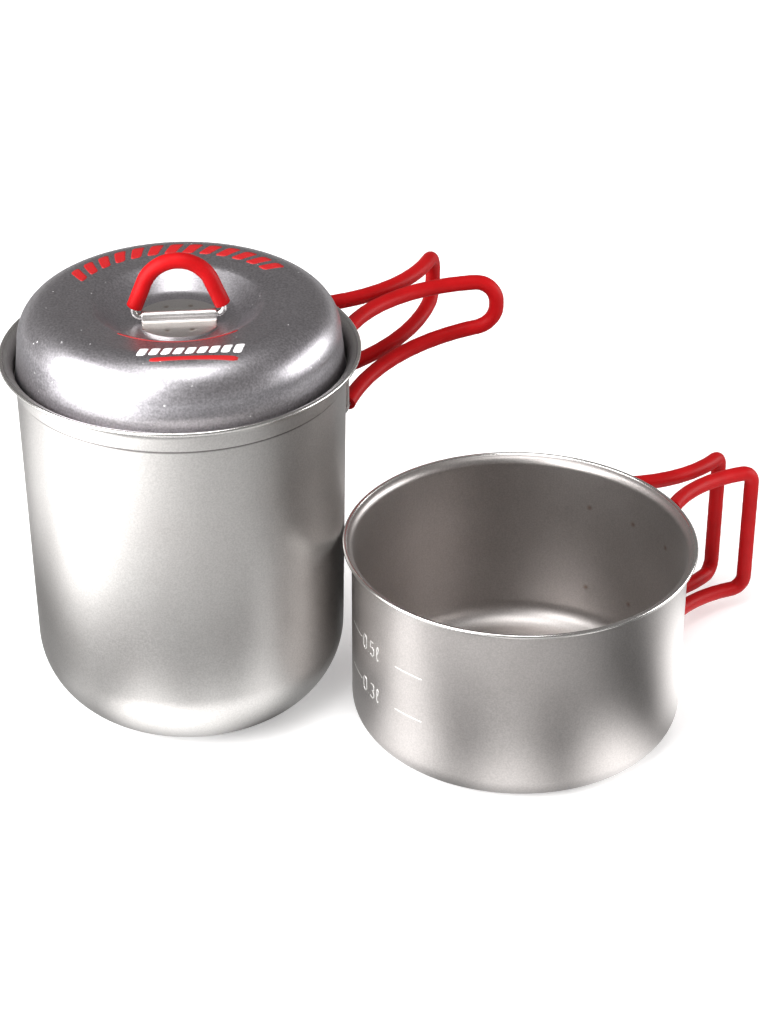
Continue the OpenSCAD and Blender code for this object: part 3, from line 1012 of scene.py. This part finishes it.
def ridge_rows(points):
    """Low ridge along a stroke of (distance round the wall, height) points, tapered at its ends."""
    path = divided([Vector(p) for p in points], 0.45)
    last = len(path) - 1
    rows = []
    for i, p in enumerate(path):
        along = (path[min(i + 1, last)] - path[max(i - 1, 0)]).normalized()
        across = Vector((-along.y, along.x))
        taper = 0.35 if i in (0, last) else 1
        rows.append([])
        for w, h in RIDGE:
            q = p + across * w * taper
            turn = math.degrees(q.x / PAN_WALL)
            r = PAN_WALL + (h if h < 0 else h * taper)
            rows[-1].append((PAN_X + r * cosd(turn), r * sind(turn), q.y))
    return rows


def graduation_strokes():
    """Strokes of the level marks: a dash, the figures and a dash at each level."""
    strokes = []
    for figures, level in LEVELS.items():
        strokes += [[(round_pan(a), level), (round_pan(b), level)] for a, b in DASHES]
        x = round_pan(DASHES[0][1]) + 1.4
        for figure in figures:
            for points in FIGURES[figure]:
                strokes.append([(x + px * CELL_W, level + (py - 1.1) * CELL_H)
                                for px, py in points])
            x += CELL_GAP if figure == "." else CELL_W + CELL_GAP
    return strokes


def add_graduations():
    """Raised level marks on the pan's wall."""
    verts, faces = [], []
    n = len(RIDGE)
    for points in graduation_strokes():
        rows = ridge_rows(points)
        first, last = len(verts), len(rows) - 1
        for i, row in enumerate(rows):
            verts += row
            here = first + i * n
            if i < last:
                faces += [(here + j, here + (j + 1) % n, here + n + (j + 1) % n, here + n + j)
                          for j in range(n)]
        faces.append(tuple(first + j for j in range(n)))
        faces.append(tuple(first + last * n + j for j in range(n))[::-1])
    piece = new_mesh("pan_level_marks", verts, faces)
    finish(piece, "pan", None, marks_painted_highlight)


# ---------- stage ----------
def card(name, half, height):
    """Square sheet of the stage."""
    corners = [(-half, -half, 0), (half, -half, 0), (half, half, 0), (-half, half, 0)]
    sheet = new_mesh(name, corners, [(0, 1, 2, 3)])
    sheet.location.z = height * MM
    return sheet


def add_floor():
    floor = card("floor", 14000, -0.05)
    floor.data.materials.append(floor_material())


def add_light(name, turn, tilt, distance, width, height, power, aim=(60, 10, 60)):
    """Soft box at a distance from the point it is aimed at."""
    data = bpy.data.lights.new(name, "AREA")
    data.shape = "RECTANGLE"
    data.size = width * MM
    data.size_y = height * MM
    data.energy = power
    light = bpy.data.objects.new(name, data)
    bpy.context.scene.collection.objects.link(light)
    back = direction(turn, tilt)
    light.location = (Vector(aim) + distance * back) * MM
    aim_along(light, back)


# what the sheet metal mirrors from the table: rings as (x, y, radius, width, brightness added)
TABLE_GLOW = [
    (-300, -290, 0, 320, 6.5),
    (-215, -115, 0, 130, 4),
    (-240, 30, 0, 110, 2),
    (-20, -310, 0, 170, 1.6),
    (120, -200, 0, 240, 0.75),
    (66, -64, 0, 44, 1.7),
    (26, -64, 0, 44, 2.2),
    (-16, -74, 0, 40, 3),
    (-58, -50, 0, 36, 0.6),
    (0, 0, 126, 40, -0.6),
    (121.3, -78, 0, 40, 1.5),
    (182, -50, 0, 40, 2.2),
    (215, 40, 0, 70, 3.5),
    (121.3, 0, 102, 28, -0.7),
    (235, -55, 0, 70, -0.5),
]
TABLE_LEVEL = 0.3


def add_table_glow():
    """Soft pools of light on the table, which only reflections see."""
    glow = card("table_glow", 1500, 0.05)
    material = bpy.data.materials.new("table_glow")
    material.use_nodes = True
    tree = material.node_tree
    tree.nodes.clear()
    out = tree.nodes.new("ShaderNodeOutputMaterial")
    light = tree.nodes.new("ShaderNodeEmission")
    place = tree.nodes.new("ShaderNodeTexCoord")
    total = TABLE_LEVEL
    for x, y, radius, width, value in TABLE_GLOW:
        away = tree.nodes.new("ShaderNodeVectorMath")
        away.operation = "DISTANCE"
        away.inputs[1].default_value = (x * MM, y * MM, 0)
        tree.links.new(place.outputs["Object"], away.inputs[0])
        off = math_node(tree, "SUBTRACT", away.outputs["Value"], radius * MM)
        off = math_node(tree, "ABSOLUTE", off)
        ring = tree.nodes.new("ShaderNodeMapRange")
        ring.interpolation_type = "SMOOTHSTEP"
        ring.inputs["From Min"].default_value = 0
        ring.inputs["From Max"].default_value = width * MM
        ring.inputs["To Min"].default_value = value
        ring.inputs["To Max"].default_value = 0
        tree.links.new(off, ring.inputs["Value"])
        total = math_node(tree, "ADD", ring.outputs["Result"], total)
    tree.links.new(math_node(tree, "MAXIMUM", total, 0.04), light.inputs["Strength"])
    tree.links.new(light.outputs["Emission"], out.inputs["Surface"])
    glow.data.materials.append(material)
    glow.visible_camera = False
    glow.visible_diffuse = False
    glow.visible_shadow = False
    glow.visible_transmission = False


def add_world():
    """A room that is white to the camera, soft on matt surfaces and dim in reflections."""
    world = bpy.data.worlds.new("studio")
    bpy.context.scene.world = world
    world.use_nodes = True
    tree = world.node_tree
    tree.nodes.clear()
    out = tree.nodes.new("ShaderNodeOutputWorld")
    path = tree.nodes.new("ShaderNodeLightPath")
    room = tree.nodes.new("ShaderNodeBackground")
    room.inputs["Color"].default_value = (1.0, 0.965, 0.95, 1)
    level = between_values(tree, path.outputs["Is Camera Ray"], 0.22, 1.0)
    matt = between_values(tree, path.outputs["Is Diffuse Ray"], 0, 0.3)
    level = math_node(tree, "ADD", level, matt)
    tree.links.new(level, room.inputs["Strength"])
    tree.links.new(room.outputs["Background"], out.inputs["Surface"])


def add_stage():
    add_floor()
    add_table_glow()
    add_world()
    add_light("key", -48, 24, 900, 1000, 1000, 24)
    add_light("top", 0, 75, 900, 450, 450, 3)
    add_light("right", 108, 12, 900, 700, 360, 4.6)
    bpy.context.scene.view_settings.view_transform = "Standard"


add_camera()
add_stage()
add_vessels()
add_wings()
add_bail()
add_brackets()
add_prints()
add_graduations()
